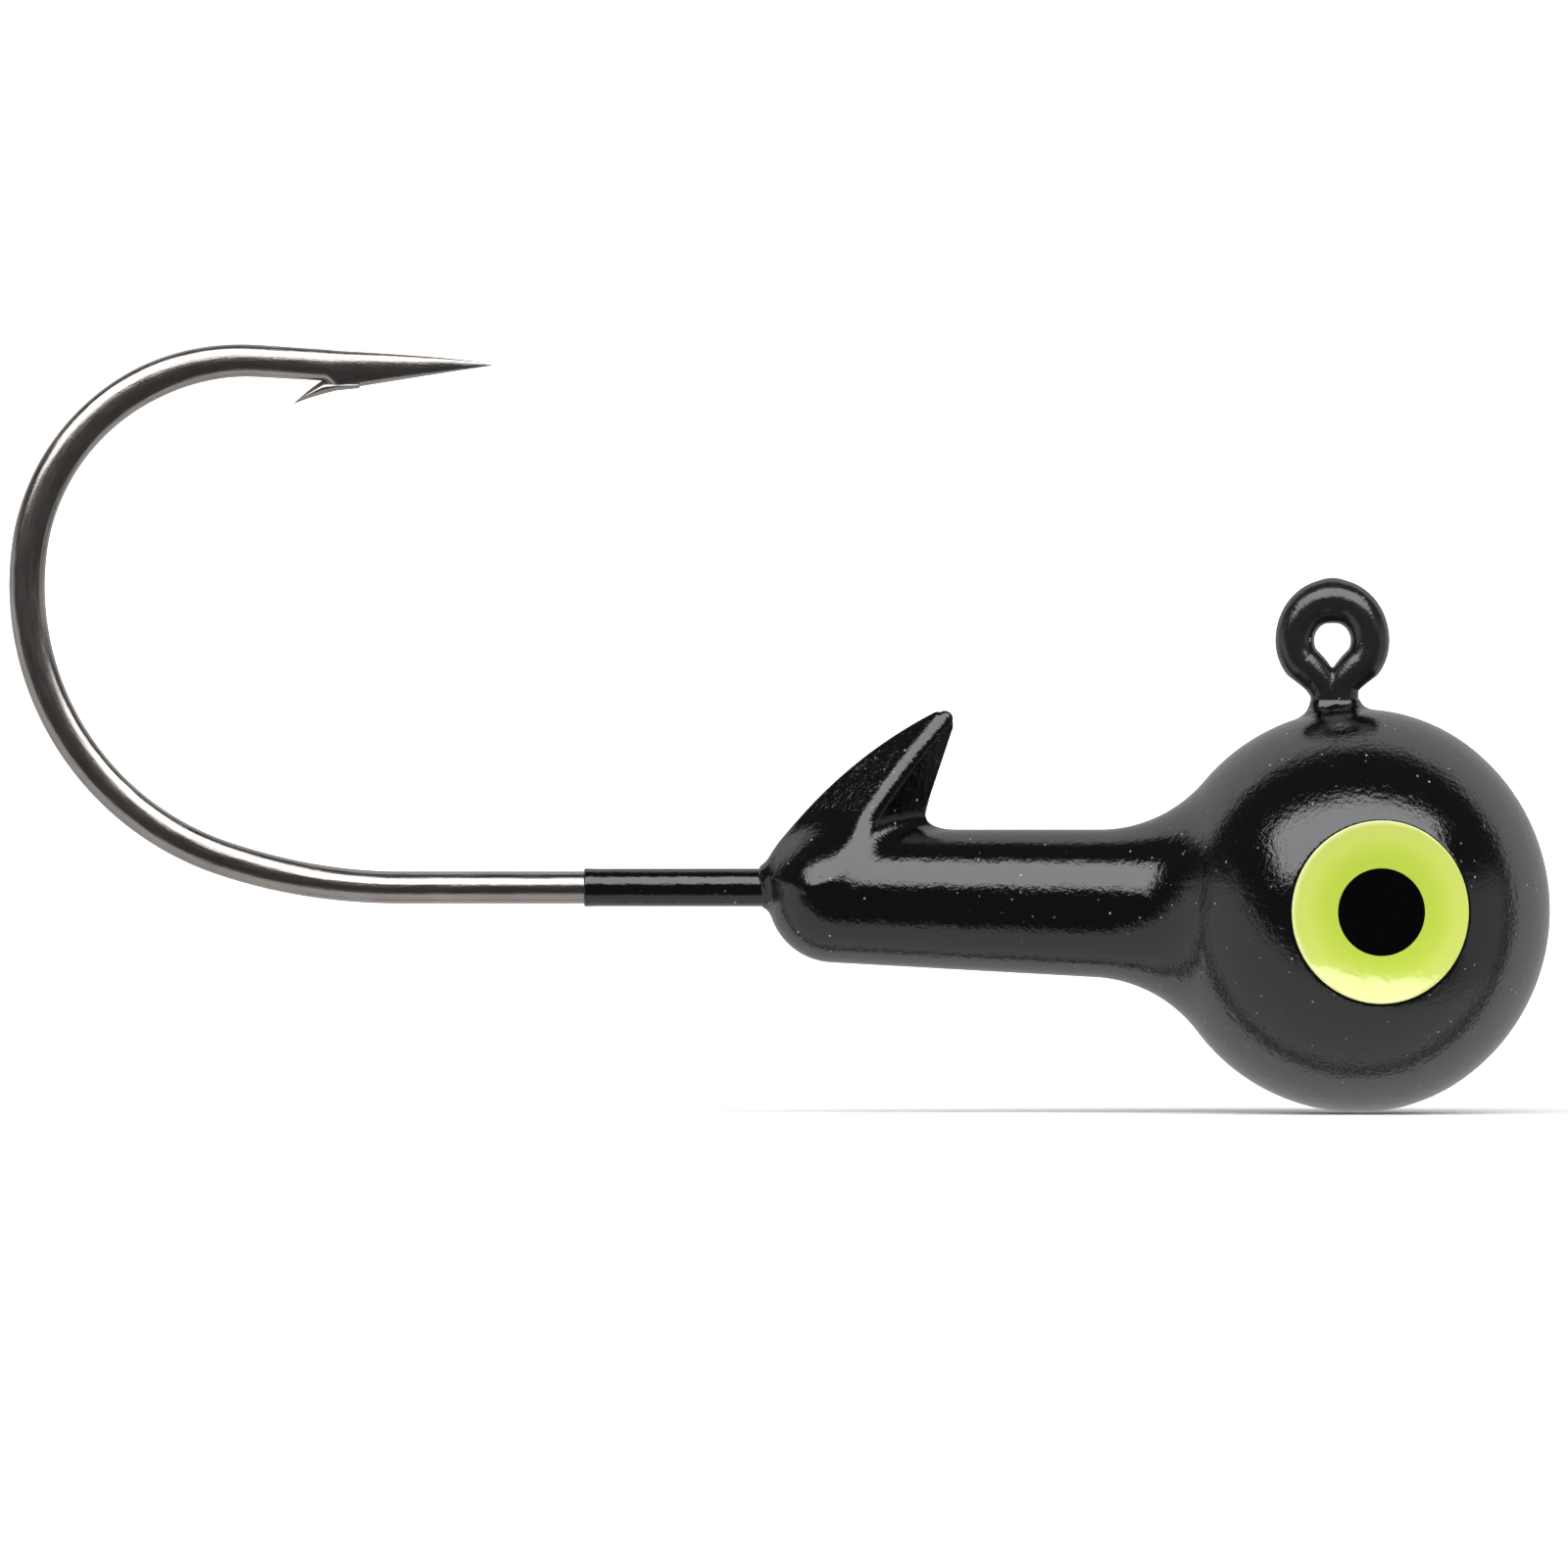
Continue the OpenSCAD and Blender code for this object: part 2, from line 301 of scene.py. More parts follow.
def smooth_curve(knots, count):
    """Points on a Catmull-Rom curve through the knots."""
    padded = np.concatenate([[2 * knots[0] - knots[1]], knots, [2 * knots[-1] - knots[-2]]])
    out = []
    for s in np.linspace(0, len(knots) - 1 - 1e-9, count):
        i, t = int(s), s - int(s)
        a, b, c, d = padded[i:i + 4]
        bend = (2 * a - 5 * b + 4 * c - d) * t * t
        twist = (3 * b - a - 3 * c + d) * t ** 3
        out.append(0.5 * (2 * b + (c - a) * t + bend + twist))
    return np.array(out)


STRANDS = neck_strands()


def eye_axes(side):
    """Outward axis of the eye and the two directions across it, in world directions."""
    c, s = math.cos(TILT), math.sin(TILT)
    a = np.array([math.sin(EYE_TURN), side * math.cos(EYE_TURN), 0.0])
    u = np.array([math.cos(EYE_TURN), -side * math.sin(EYE_TURN), 0.0])
    w = np.array([0.0, 0.0, 1.0])
    turn = np.array([[c, 0, s], [0, 1, 0], [-s, 0, c]])
    return turn @ a, turn @ u, turn @ w


def head_distance(points):
    """Casting with its coat: the paint creeps a little way up every wire that leaves it."""
    p = to_head(points)
    d = smin(body_distance(p), keeper_distance(p), 0.58)
    x, y, z = points.T
    shank = smax(np.hypot(y, z - SHANK_Z) - SLEEVE_R - 0.006, x - HEAD_C[0] + COLLAR_LEN, 0.1)
    shank = smax(shank, HEAD_LOW[0] - 0.16 - x, 0.08)
    d = smin(d, shank, 0.3)
    left, right = (np.hypot(x - side * foot, y) - NECK_R - 0.005 for side, foot in NECK_FEET)
    neck = smax(smin(left, right, 0.08), z + 1.45, 0.06)
    d = smin(d, smax(neck, -2.4 - z, 0.1), 0.42)
    for side in (1, -1):
        axis, _, _ = eye_axes(side)
        dish = np.linalg.norm(points - HEAD_C - axis * DISH_Y, axis=1) - DISH_R
        d = smax(d, -dish, 0.05)
    return d


def line_eye_distance(points):
    """Both strands with their coat, which fills the groove between them."""
    left, right = (tube_distance(points, path, radii) for path, radii in STRANDS)
    return smin(left, right, 0.09)


# ------------------------------------------------------------------ pieces

def make_head():
    voxel = 0.08
    low, high = HEAD_LOW - 0.3, HEAD_HIGH + [0.3, 0.3, 0.7]
    return new_mesh("painted_head", *surface(head_distance, low, high, voxel))


def make_line_eye():
    voxel = 0.035
    reach, half = RING_R + RING_TUBE + 0.3, RING_TUBE + 0.1
    low, high = [-reach, -half, -2.75], [reach, half, reach]
    return new_mesh("painted_line_eye", *surface(line_eye_distance, low, high, voxel))


def sweep(name, path, frames, sections):
    """Skin over cross-sections, with closed ends and a UV map along the wire.

    sections[i] is an (n, 2) outline in the frame (side, up) of path[i].
    """
    n = len(sections[0])
    points = np.concatenate([c + s[:, :1] * side + s[:, 1:] * up
                             for c, (side, up), s in zip(path, frames, sections)])
    faces = []
    for i in range(len(path) - 1):
        for j in range(n):
            k = (j + 1) % n
            faces.append((i * n + j, i * n + k, (i + 1) * n + k, (i + 1) * n + j))
    faces.append(tuple(range(n))[::-1])
    faces.append(tuple((len(path) - 1) * n + j for j in range(n)))
    obj = new_mesh(name, points, faces)
    along = np.concatenate([[0], np.cumsum(np.linalg.norm(np.diff(path, axis=0), axis=1))])
    uv = obj.data.uv_layers.new(name="wire")
    values = np.zeros((len(obj.data.loops), 2))
    for poly in obj.data.polygons:
        rows = [v // n for v in poly.vertices]
        cols = [v % n for v in poly.vertices]
        wrap = max(cols) - min(cols) > 1 and len(cols) == 4
        for loop, r, c in zip(poly.loop_indices, rows, cols):
            values[loop] = (along[r], (c + n if wrap and c == 0 else c) / n)
    uv.data.foreach_set("uv", values.ravel())
    return obj


# ------------------------------------------------------------ hook: one wire

LEAD_IN = (13.7, 18.8)                         # radius and angle of the bend's three arcs
LOWER = (7.14, 77.7)
UPPER = (5.37, 87.4)
SPEAR_LEN = 1.98                               # bend to the foot of the barb
NOTCH = 0.34                                   # foot of the barb back to the notch over it
POINT_LEN = 3.82
POINT_RISE = math.radians(4.3)
BARB_LEN = 1.085                               # foot of the barb back to its tip
BARB_ROOT = 0.55                               # how far it runs on into the point
SIDEWAYS = np.array([0.0, 1.0, 0.0])


def wire_path():
    """Stations along the visible wire: x, z, heading, name of the stretch and share of it."""
    x, z, heading = HEAD_LOW[0] + 1.2, SHANK_Z, math.pi
    stations = []

    def straight(length, shares, stretch):
        nonlocal x, z
        dx, dz = length * math.cos(heading), length * math.sin(heading)
        stations.extend((x + f * dx, z + f * dz, heading, stretch, f) for f in shares)
        x, z = x + dx, z + dz

    def arc(radius, degrees, steps, stretch):
        nonlocal x, z, heading
        cx, cz = x + radius * math.sin(heading), z - radius * math.cos(heading)
        start = heading
        for i in range(steps + 1):
            heading = start - math.radians(degrees) * i / steps
            x, z = cx - radius * math.sin(heading), cz + radius * math.cos(heading)
            if i < steps:
                stations.append((x, z, heading, stretch, i / steps))

    straight(x - SHANK_LOW[0], np.arange(24) / 24, "shank")
    arc(*LEAD_IN, 14, "lead_in")
    arc(*LOWER, 56, "lower")
    arc(*UPPER, 60, "upper")
    straight(SPEAR_LEN - NOTCH, np.arange(12) / 12, "spear")
    straight(NOTCH, np.arange(8) / 8, "notch")
    heading += POINT_RISE
    straight(POINT_LEN, 1 - (1 - np.arange(45) / 44) ** 1.25, "point")
    return stations


STATIONS = wire_path()


def ease(f):
    f = min(max(f, 0), 1)
    return f * f * (3 - 2 * f)


def wire_size(stretch, f):
    """Half height above and below the line, half thickness, and roundness (1 is a circle).

    The wire is round along the shank and pressed flatter and taller round the bend.
    """
    r = WIRE_R
    if stretch == "shank":
        return r, r, r, 1.0
    if stretch == "lead_in":
        swell = 0.03 * ease(f)
        return r + swell, r + swell, r - 0.04 * ease(f), 1.0 - 0.18 * ease(f)
    if stretch == "lower":
        swell = 0.03 + 0.015 * f
        return r + swell, r + swell, r - 0.04 - 0.02 * f, 0.82 - 0.14 * f
    if stretch == "upper":
        swell = 0.045 + 0.015 * math.sin(math.pi * f) - 0.045 * ease((f - 0.6) / 0.4)
        return r + swell, r + swell, r - 0.06 - 0.01 * f, 0.68 + 0.04 * f
    if stretch == "spear":
        return r, r - 0.02 * f, r - 0.07 - 0.02 * f, 0.72 - 0.14 * f
    if stretch == "notch":
        return r - 0.01 * f, r - 0.02 + 0.2 * ease(f), r - 0.09 - 0.01 * f, 0.58 - 0.06 * f
    left = 1 - f
    tip = 0.005
    return 0.385 * left ** 0.62 + tip, 0.575 * left ** 1.03 + tip, 0.295 * left ** 0.8 + tip, 0.52


def wire_section(up, down, half, roundness, n=56):
    """Round wire pressed between flat dies: (across, up) outline."""
    a = (np.arange(n) + 0.5) * 2 * math.pi / n
    c, s = np.cos(a), np.sin(a)
    return np.stack([half * np.sign(c) * np.abs(c) ** roundness, np.where(s > 0, up, down) * s], 1)


def make_hook():
    """The visible wire in one piece; up is the outer side of the bend and the top of the point."""
    path, frames, sections = [], [], []
    for x, z, heading, stretch, f in STATIONS:
        path.append(np.array([x, 0.0, z]))
        frames.append((SIDEWAYS, np.array([-math.sin(heading), 0.0, math.cos(heading)])))
        sections.append(wire_section(*wire_size(stretch, f)))
    return sweep("forged_hook", path, frames, sections)


def make_barb():
    """Sliver cut up from the belly of the point: thick at its foot, thin and sharp at its tip."""
    x, z, heading, _, _ = next(s for s in STATIONS if s[3] == "point")
    heading -= POINT_RISE
    along = np.array([math.cos(heading), 0.0, math.sin(heading)])
    up = np.array([-math.sin(heading), 0.0, math.cos(heading)])
    a = np.arange(20) * 2 * math.pi / 20
    c, s = np.cos(a), np.sin(a)
    outline = np.sign(c) * np.abs(c) ** 0.7 * (1 - 0.45 * np.clip(s, 0, 1))
    thin, full = 0.012, 0.227
    path, sections = [], []
    for back in np.linspace(BARB_LEN, -BARB_ROOT, 34):
        free = max(back - NOTCH, 0.0)
        low = -0.60 - 0.30 * back - 0.08 * back * back if back > 0 else -0.60 - 0.17 * back
        high = max(min(-0.345 - 0.70 * free - 0.29 * free * free, -0.2), low + thin)
        left = min(max((BARB_LEN - back) / 0.75, 0.0), 1.0)
        wide = thin + (full - thin) * left ** 0.75 if back > NOTCH - 0.1 else full
        sections.append(np.stack([wide * outline, (high - low) / 2 * s], 1))
        path.append(np.array([x, 0.0, z]) - along * back + up * (low + high) / 2)
    return sweep("hook_barb_sliver", path, [(SIDEWAYS, up)] * len(path), sections)


def make_eye_wire():
    """Wire inside the painted line eye: hidden, but it is what the paint lies on."""
    a = np.arange(24) * 2 * math.pi / 24
    circle = np.stack([np.cos(a), np.sin(a)], 1)
    pieces = []
    for path, radii in STRANDS:
        frames = []
        for i in range(len(path)):
            d = path[min(i + 1, len(path) - 1)] - path[max(i - 1, 0)]
            d /= np.linalg.norm(d)
            frames.append((SIDEWAYS, np.cross(d, SIDEWAYS)))
        pieces.append(sweep("eye_wire", path, frames, [circle * (r - 0.08) for r in radii]))
    bpy.ops.object.select_all(action="DESELECT")
    for piece in pieces:
        piece.select_set(True)
    bpy.context.view_layer.objects.active = pieces[0]
    bpy.ops.object.join()
    pieces[0].name = "line_eye_wire"
    return pieces[0]


def lathe(name, outline, centre, axis, across, segments=96):
    """Turns an (along, radius) outline round an axis; points with no radius close the ends."""
    axis = np.array(axis, float)
    across = np.array(across, float)
    other = np.cross(axis, across)
    points, faces, rows = [], [], []
    for along, radius in outline:
        base = len(points)
        if radius < 1e-6:
            points.append(centre + axis * along)
            rows.append([base] * segments)
            continue
        for j in range(segments):
            a = 2 * math.pi * j / segments
            points.append(centre + axis * along + radius * (math.cos(a) * across + math.sin(a) * other))
        rows.append(list(range(base, base + segments)))
    for low, high in zip(rows[:-1], rows[1:]):
        for j in range(segments):
            k = (j + 1) % segments
            quad = [low[j], low[k], high[k], high[j]]
            faces.append(tuple(dict.fromkeys(quad)))
    return new_mesh(name, points, [f for f in faces if len(f) > 2])


def make_sleeve():
    """Paint on the first stretch of shank: a thin tube with a crisp, slightly thick end."""
    inner, outer = WIRE_R - OVERLAP, SLEEVE_R
    start, end = SLEEVE_END, HEAD_LOW[0] + 0.35
    outline = [(start + 0.02, inner)]
    for a in np.linspace(0, math.pi / 2, 9):
        outline.append((start + 0.045 - 0.045 * math.cos(a), WIRE_R + 0.022 + 0.052 * math.sin(a)))
    outline += [(start + 0.16, outer + 0.001), (start + 0.3, outer - 0.004)]
    for x in np.linspace(start + 0.6, end, 16):
        outline.append((x, outer - 0.004 + 0.004 * (x - start) / (end - start)))
    outline += [(end, inner), (start + 0.02, inner)]
    return lathe("painted_shank", outline, np.array([0.0, 0.0, SHANK_Z]), (1, 0, 0), (0, 0, 1))


# ---------------------------------------------------------------------- eyes

def dish_depth(radius):
    """How far out along the eye's axis the dish lies at a radius."""
    return DISH_Y - np.sqrt(DISH_R ** 2 - radius ** 2)


def rim_radii(axis, out):
    """Where the dish meets the ball, found by halving, for each direction across the eye."""
    low, high = np.full(len(out), 1.6), np.full(len(out), 2.8)
    for _ in range(22):
        rim = (low + high) / 2
        at = HEAD_C + axis * dish_depth(rim)[:, None] + out * rim[:, None]
        inside = body_distance(to_head(at)) < 0
        low, high = np.where(inside, rim, low), np.where(inside, high, rim)
    return low - 0.012                         # just inside the rim


def make_iris(side, label):
    """Paint that lines the dish, out to its rim, as a thin closed skin."""
    axis, across, up = eye_axes(side)
    turns = 160
    angle = 2 * math.pi * np.arange(turns) / turns
    out = np.cos(angle)[:, None] * across + np.sin(angle)[:, None] * up
    rim = rim_radii(axis, out)

    def ring(share, lift):
        r = rim * share
        return list(HEAD_C + axis * (dish_depth(r) + lift)[:, None] + out * r[:, None])

    shares = [0.12, 0.3, 0.46, 0.5, 0.6, 0.7, 0.78, 0.86, 0.92, 0.96, 0.985]
    points = [HEAD_C + axis * (dish_depth(0) + IRIS_PROUD)]
    for share in shares:
        points += ring(share, IRIS_PROUD)
    points += ring(1.0, IRIS_PROUD / 2)
    points += ring(1.0, -IRIS_T)
    points.append(HEAD_C + axis * (dish_depth(0) - IRIS_T))
    faces = []
    last = 1 + (len(shares) + 1) * turns
    for j in range(turns):
        k = (j + 1) % turns
        faces.append((0, 1 + j, 1 + k))
        for a in range(1, last, turns):
            faces.append((a + j, a + turns + j, a + turns + k, a + k))
        faces.append((last + j, len(points) - 1, last + k))
    if side > 0:
        faces = [f[::-1] for f in faces]
    return new_mesh("iris_dish_" + label, points, faces)


def make_pupil(side, label):
    """Flat disc with a soft edge, let into the middle of the iris."""
    axis, across, _ = eye_axes(side)
    edge = 0.012
    seat = dish_depth(0) + IRIS_PROUD
    face = dish_depth(PUPIL_R) + IRIS_PROUD + edge
    outline = [(seat - 0.05, 0.0), (seat - 0.05, PUPIL_R - 0.05), (face - 0.03, PUPIL_R)]
    for a in np.linspace(0, math.pi / 2, 5):
        outline.append((face - edge + edge * math.sin(a), PUPIL_R - edge + edge * math.cos(a)))
    outline += [(face - 0.002 * (1 - f), (PUPIL_R - edge) * f) for f in (0.8, 0.5, 0.2, 0.0)]
    return lathe("pupil_disc_" + label, outline, HEAD_C, axis, across, 128)


# ----------------------------------------------------------------- materials

def material(name, **values):
    mat = bpy.data.materials.new(name)
    mat.use_nodes = True
    shader = mat.node_tree.nodes["Principled BSDF"]
    for key, value in values.items():
        socket = shader.inputs[key.replace("_", " ")]
        socket.default_value = value
    return mat, mat.node_tree, shader


def node(tree, kind, inputs=None, **settings):
    n = tree.nodes.new(kind)
    for key, value in settings.items():
        setattr(n, key, value)
    for key, value in (inputs or {}).items():
        if isinstance(value, bpy.types.NodeSocket):
            tree.links.new(value, n.inputs[key])
        else:
            n.inputs[key].default_value = value
    return n


def map_range(tree, value, source, target, smooth=False):
    """Value mapped from one (low, high) pair to another, with soft ends where smooth."""
    inputs = dict(zip(("From Min", "From Max", "To Min", "To Max"), (*source, *target)), Value=value)
    kind = "SMOOTHSTEP" if smooth else "LINEAR"
    return node(tree, "ShaderNodeMapRange", inputs, interpolation_type=kind).outputs["Result"]


def vector_maths(tree, operation, a, b):
    return node(tree, "ShaderNodeVectorMath", {0: a, 1: b}, operation=operation)


def noise(tree, coords, scale, detail=2.0, roughness=0.5):
    return node(tree, "ShaderNodeTexNoise",
                {"Vector": coords, "Scale": scale, "Detail": detail, "Roughness": roughness}).outputs["Fac"]


def ramp(tree, fac, stops):
    n = node(tree, "ShaderNodeValToRGB", {"Fac": fac})
    while len(n.color_ramp.elements) < len(stops):
        n.color_ramp.elements.new(0.5)
    for element, (at, colour) in zip(n.color_ramp.elements, stops):
        element.position = at
        element.color = (*colour, 1.0)
    return n.outputs["Color"]


def bump(tree, height, distance, strength=1.0, normal=None):
    inputs = {"Height": height, "Distance": distance, "Strength": strength}
    if normal is not None:
        inputs["Normal"] = normal
    return node(tree, "ShaderNodeBump", inputs).outputs["Normal"]


def maths(tree, operation, a, b):
    return node(tree, "ShaderNodeMath", {0: a, 1: b}, operation=operation).outputs["Value"]


def powder_coat(name, black=(0.0007, 0.0007, 0.0010), rough=(0.05, 0.09)):
    """Gloss black powder coat: orange peel, a finer crinkle, and dust nibs, some of them pale."""
    mat, tree, shader = material(name, IOR=1.52)
    coords = node(tree, "ShaderNodeTexCoord").outputs["Object"]
    peel = noise(tree, coords, 2600.0, 2.0)
    crinkle = noise(tree, coords, 9000.0, 3.0, 0.6)
    cells = node(tree, "ShaderNodeTexVoronoi", {"Vector": coords, "Scale": 3800.0, "Randomness": 1.0})
    apart = node(tree, "ShaderNodeSeparateColor", {"Color": cells.outputs["Color"]})
    nib = map_range(tree, cells.outputs["Distance"], (0.06, 0.13), (1.0, 0.0))
    nib = maths(tree, "MULTIPLY", nib, maths(tree, "GREATER_THAN", apart.outputs["Red"], 0.55))
    pale = maths(tree, "MULTIPLY", nib, apart.outputs["Green"])
    colour = node(tree, "ShaderNodeMix", {"Factor": pale}, data_type="RGBA")
    colour.inputs["A"].default_value = (*black, 1.0)
    colour.inputs["B"].default_value = (0.26, 0.26, 0.27, 1.0)
    tree.links.new(colour.outputs["Result"], shader.inputs["Base Color"])
    tree.links.new(map_range(tree, peel, (0.3, 0.7), rough), shader.inputs["Roughness"])
    lumps = bump(tree, crinkle, 9.0e-6, 1.0, bump(tree, peel, 1.1e-5))
    tree.links.new(bump(tree, nib, 4.0e-6, 1.0, lumps), shader.inputs["Normal"])
    return mat


def black_nickel(name, use_uv=True):
    """Dark bright plating with fine drawing marks along the wire."""
    mat, tree, shader = material(name, Metallic=1.0)
    source = node(tree, "ShaderNodeTexCoord").outputs
    along, stretch = ("UV", (1.3, 46.0, 1.0)) if use_uv else ("Object", (900.0, 9000.0, 9000.0))
    stretched = node(tree, "ShaderNodeMapping", {"Vector": source[along], "Scale": stretch})
    streak = noise(tree, stretched.outputs["Vector"], 1.0, 3.0, 0.6)
    cloud = noise(tree, source["Object"], 700.0, 3.0)
    grain = noise(tree, source["Object"], 16000.0, 2.0)
    tint = ramp(tree, cloud, [(0.3, (0.240, 0.220, 0.205)), (0.7, (0.315, 0.292, 0.275))])
    tree.links.new(tint, shader.inputs["Base Color"])
    tree.links.new(map_range(tree, streak, (0.3, 0.7), (0.15, 0.27)), shader.inputs["Roughness"])
    tree.links.new(bump(tree, grain, 2.4e-6, 1.0, bump(tree, streak, 4.0e-6)), shader.inputs["Normal"])
    return mat


def bare_lead(name):
    """Dull cast lead, all of it under the coat."""
    mat, tree, shader = material(name, Metallic=1.0, Roughness=0.5)
    coords = node(tree, "ShaderNodeTexCoord").outputs["Object"]
    tint = ramp(tree, noise(tree, coords, 900.0, 5.0),
                [(0.3, (0.20, 0.21, 0.23)), (0.7, (0.36, 0.37, 0.39))])
    tree.links.new(tint, shader.inputs["Base Color"])
    tree.links.new(bump(tree, noise(tree, coords, 5000.0, 4.0), 8.0e-6), shader.inputs["Normal"])
    return mat


def eye_radius(tree, side):
    """Distance from the eye's axis, in units of the rim radius."""
    axis, _, _ = eye_axes(side)
    coords = node(tree, "ShaderNodeTexCoord").outputs["Object"]
    offset = vector_maths(tree, "SUBTRACT", coords, Vector(HEAD_C * MM)).outputs["Vector"]
    cross = vector_maths(tree, "CROSS_PRODUCT", offset, Vector(axis)).outputs["Vector"]
    length = node(tree, "ShaderNodeVectorMath", {0: cross}, operation="LENGTH").outputs["Value"]
    return coords, maths(tree, "DIVIDE", length, EYE_R * MM)


def lime_iris(side, label):
    """Lime paint in the dish: greener round the pupil, paler toward the rim, with a painted highlight line
    along the rim.
    """
    mat, tree, shader = material("lime_iris_" + label, IOR=1.62)
    coords, radius = eye_radius(tree, side)
    wobble = maths(tree, "MULTIPLY", maths(tree, "SUBTRACT", noise(tree, coords, 1300.0, 3.0), 0.5), 0.05)
    # The pale last stop, just inside the rim, is a painted highlight where the rim's edge catches the
    # light.
    colour = ramp(tree, maths(tree, "ADD", radius, wobble), [
        (0.47, (0.272, 0.345, 0.036)), (0.55, (0.274, 0.347, 0.036)), (0.66, (0.292, 0.356, 0.041)),
        (0.80, (0.338, 0.382, 0.066)), (0.94, (0.345, 0.385, 0.080)), (0.975, (0.42, 0.455, 0.18))])
    tree.links.new(colour, shader.inputs["Base Color"])
    rough = map_range(tree, noise(tree, coords, 5000.0), (0.0, 1.0), (0.07, 0.14))
    tree.links.new(rough, shader.inputs["Roughness"])
    tree.links.new(bump(tree, noise(tree, coords, 1500.0, 2.0), 1.6e-5), shader.inputs["Normal"])
    return mat


def flat_black(name):
    """Matt black of the pupil."""
    mat, tree, shader = material(name, Roughness=0.7, Specular_IOR_Level=0.02)
    coords = node(tree, "ShaderNodeTexCoord").outputs["Object"]
    fine = noise(tree, coords, 9000.0, 3.0)
    tint = ramp(tree, fine, [(0.3, (0.0001, 0.0001, 0.0001)), (0.7, (0.0006, 0.0006, 0.0006))])
    tree.links.new(tint, shader.inputs["Base Color"])
    tree.links.new(bump(tree, fine, 1.5e-6), shader.inputs["Normal"])
    return mat


def dress(obj, mat):
    obj.data.materials.clear()
    obj.data.materials.append(mat)


# ------------------------------------------------------- piece and node

def place(obj, mat, slot, *nodes):
    dress(obj, mat)
    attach(obj, "root")
    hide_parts(*nodes)


nickel = black_nickel("black_nickel_wire")
hidden_nickel = black_nickel("black_nickel_hidden", use_uv=False)
# Same black powder coat on the line eye, rougher and with a lighter black: the lighter black is painted
# sheen that makes the thin ring read dark grey.
thick_coat_painted_sheen = powder_coat("powder_coat_line_eye", (0.006, 0.0056, 0.0065), (0.14, 0.22))

place(make_head(), powder_coat("powder_coat_head"), "black_coat", "head_paint")
place(make_line_eye(), thick_coat_painted_sheen, "eyelet_coat", "eyelet_paint")
place(make_hook(), nickel, "hook_nickel", "hook_shank", "hook_bend", "hook_point")
place(make_barb(), nickel, "hook_nickel", "hook_barb")
place(make_eye_wire(), hidden_nickel, "hook_nickel", "hook_eye")
place(make_sleeve(), powder_coat("powder_coat_shank"), "shank_coat", "shank_paint")
for side, label in ((1, "left"), (-1, "right")):
    place(make_iris(side, label), lime_iris(side, label), "iris_lime", "iris_" + label)
    place(make_pupil(side, label), flat_black("flat_black_" + label), "pupil_black", "pupil_" + label)
dress(frame["nodes"]["lead_head"], bare_lead("bare_lead"))
dress(frame["nodes"]["hook_leg"], hidden_nickel)


# --------------------------------------------------------------------- stage

def make_stage():
    """Pale round floor that curves up into a low wall far from the part."""
    floor_z = HEAD_LOW[2] - 0.03
    flat, curve, wall = 800.0, 120.0, 100.0
    outline = [(0.0, r) for r in (0.0, 60.0, 200.0, 450.0, flat)]
    for a in np.linspace(0.1, math.pi / 2, 14):
        outline.append((curve - curve * math.cos(a), flat + curve * math.sin(a)))
    outline.append((curve + wall, flat + curve))
    centre = np.array([HEAD_C[0] - 12, 0.0, floor_z])
    bowl = lathe("studio_floor", outline[::-1], centre, (0, 0, 1), (1, 0, 0), 128)
    mat, tree, shader = material("studio_floor", Roughness=1.0, Specular_IOR_Level=0.0)
    shader.inputs["Base Color"].default_value = (0.86, 0.86, 0.86, 1.0)
    coords = node(tree, "ShaderNodeTexCoord").outputs["Object"]
    away = node(tree, "ShaderNodeVectorMath", {0: coords}, operation="LENGTH").outputs["Value"]
    shader.inputs["Emission Color"].default_value = (1.0, 1.0, 1.0, 1.0)
    glow = map_range(tree, away, (0.03, 0.22), (0.0, 0.9), smooth=True)
    tree.links.new(glow, shader.inputs["Emission Strength"])
    dress(bowl, mat)
    bowl.visible_glossy = False


def make_light():
    """Long softbox in front of the part and above it."""
    target = Vector(HEAD_C * MM) + Vector((-0.008, 0, 0))
    rise, away, radiance = math.radians(45), 0.30, 5.2
    lamp = bpy.data.lights.new("overhead_softbox", "AREA")
    lamp.shape = "RECTANGLE"
    lamp.size, lamp.size_y = 0.64, 0.246
    lamp.energy = radiance * lamp.size * lamp.size_y * math.pi
    lamp.color = (0.97, 0.985, 1.0)
    obj = bpy.data.objects.new("overhead_softbox", lamp)
    obj.location = target + Vector((0.01, -math.cos(rise), math.sin(rise))) * away
    obj.rotation_euler = (target - obj.location).to_track_quat("-Z", "Y").to_euler()
    bpy.context.scene.collection.objects.link(obj)


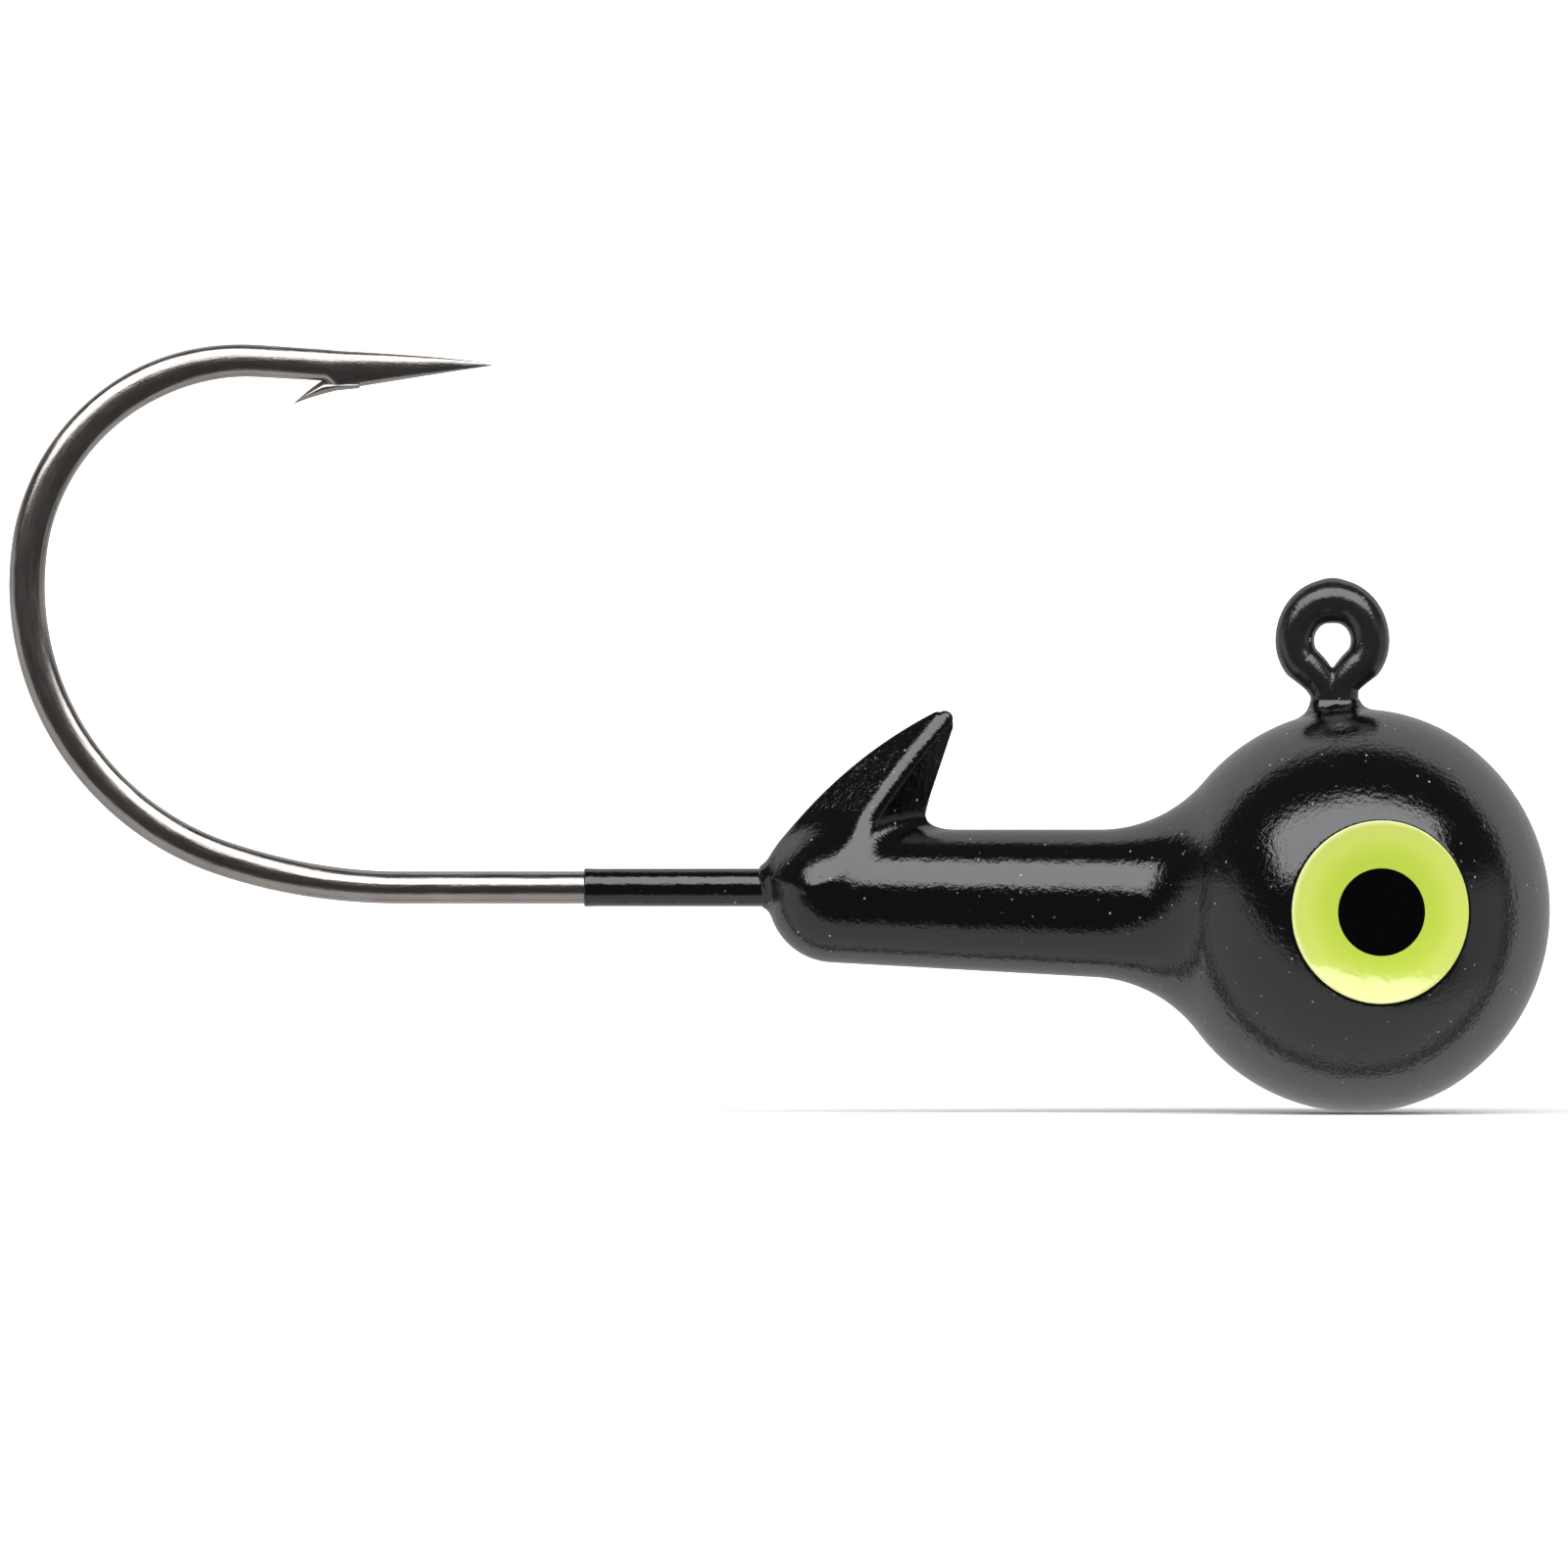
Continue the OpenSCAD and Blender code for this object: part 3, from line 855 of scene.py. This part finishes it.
def make_world():
    """White table behind the part, reflectors low on the left and right, dark toward the camera."""
    world = bpy.data.worlds.new("studio")
    world.use_nodes = True
    bpy.context.scene.world = world
    tree = world.node_tree
    direction = node(tree, "ShaderNodeTexCoord").outputs["Generated"]
    apart = node(tree, "ShaderNodeSeparateXYZ", {"Vector": direction})
    x, y, z = (apart.outputs[axis] for axis in "XYZ")

    def band(value, low, high, strength=1.0):
        return map_range(tree, value, (low, high), (0.0, strength), smooth=True)

    def toward(normal):
        return vector_maths(tree, "DOT_PRODUCT", direction, normal).outputs["Value"]

    deep = map_range(tree, y, (0.3, 1.0), (1.2, 0.35))
    back = maths(tree, "MULTIPLY", band(y, 0.305, 0.335), deep)
    left = band(toward((-0.354, 0.661, -0.661)), 0.0, 0.08, 0.9)
    low_right = band(toward((0.3, 0.6, -0.742)), 0.35, 0.5, 0.6)
    right = maths(tree, "MAXIMUM", band(x, 0.80, 0.92, 0.6), low_right)
    fill = maths(tree, "MULTIPLY", maths(tree, "MAXIMUM", left, right), band(y, 0.225, 0.195))
    fill = maths(tree, "MULTIPLY", fill, band(z, 0.35, 0.1))
    total = maths(tree, "ADD", maths(tree, "MAXIMUM", back, fill), 0.10)
    tree.links.new(total, tree.nodes["Background"].inputs["Strength"])
    tree.nodes["Background"].inputs["Color"].default_value = (1.0, 1.0, 1.0, 1.0)


def make_camera():
    """Square on to the plane of the hook, far enough off for a long lens."""
    low, high = (np.array(v) for v in cad_box)
    margin = 1.0178                                # frame width in lengths of the part
    right, down = 0.00011, 0.0014                  # so the part sits a little left and high
    width = (high[0] - low[0]) * margin
    data = bpy.data.cameras.new("camera")
    data.lens, data.sensor_width = 500.0, 36.0
    data.clip_start, data.clip_end = 0.005, 5.0
    obj = bpy.data.objects.new("camera", data)
    distance = width * data.lens / data.sensor_width
    obj.location = ((low[0] + high[0]) / 2 + right, -distance, (low[2] + high[2]) / 2 - down)
    obj.rotation_euler = (math.radians(90), 0, 0)
    bpy.context.scene.collection.objects.link(obj)
    bpy.context.scene.camera = obj


make_stage()
make_light()
make_world()
make_camera()
bpy.context.scene.view_settings.view_transform = "Standard"
